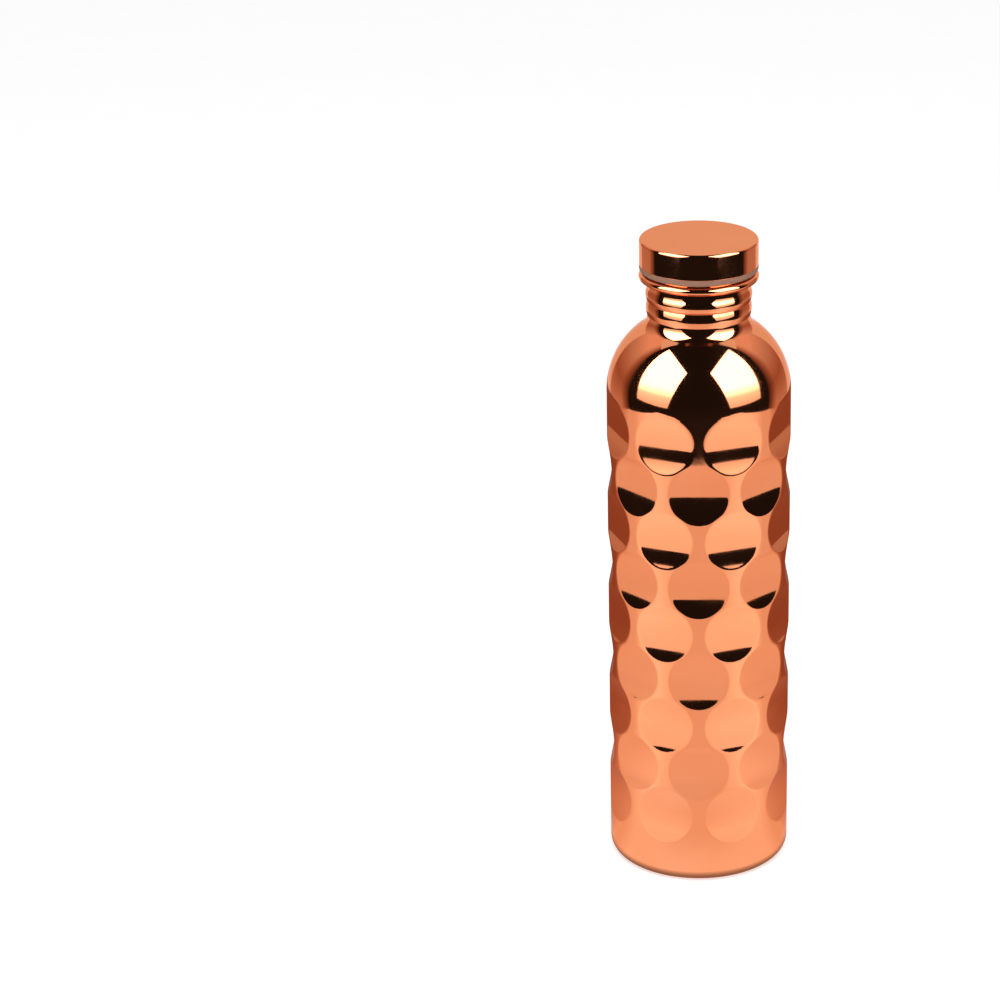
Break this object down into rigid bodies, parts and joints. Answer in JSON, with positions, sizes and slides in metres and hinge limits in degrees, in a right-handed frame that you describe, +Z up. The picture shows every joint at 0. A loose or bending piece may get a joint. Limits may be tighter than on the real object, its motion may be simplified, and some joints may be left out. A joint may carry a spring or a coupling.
{
  "type": "water bottle",
  "caption": "Round metal water bottle with a dimpled barrel, domed shoulder, beaded neck and a screw cap with an inner seal.",
  "frame": {"origin": "centre of the foot, on the plane the bottle stands on", "axes": "+Z up along the bottle's axis towards the cap; -Y is the front, where one dimple of every other row faces; +X is to the right seen from the front"},
  "size_m": [0.073, 0.073, 0.2633],
  "materials": {
    "copper": "mirror polished and lacquered copper",
    "copper_satin": "turned copper, satin",
    "braze": "brazing alloy, as flowed",
    "insert": "moulded, fine matt",
    "silicone": "translucent white silicone"
  },
  "bodies": {
    "bottle": {"bottle_shell": "copper", "base_pan": "copper", "base_braze_ring": "braze", "neck_finish": "copper", "neck_braze_ring": "braze"},
    "cap_seal": {"cap_gasket": "silicone", "cap_liner_disc": "copper_satin"},
    "cap": {"cap_shell": "copper", "cap_thread_insert": "insert"}
  },
  "joints": [
    {"name": "cap_lift", "type": "slide", "parent": "bottle", "child": "cap_seal", "axis": [0, 0, 1], "range_m": [0, 0.036]},
    {"name": "cap_turn", "type": "hinge", "parent": "cap_seal", "child": "cap", "pos_m": [0, 0, 0.2515], "axis": [0, 0, 1], "range_deg": [0, 3240]}
  ],
  "couplings": [
    {"joint": "cap_lift", "follows": "cap_turn", "m_per_rad": 0.0006366}
  ]
}
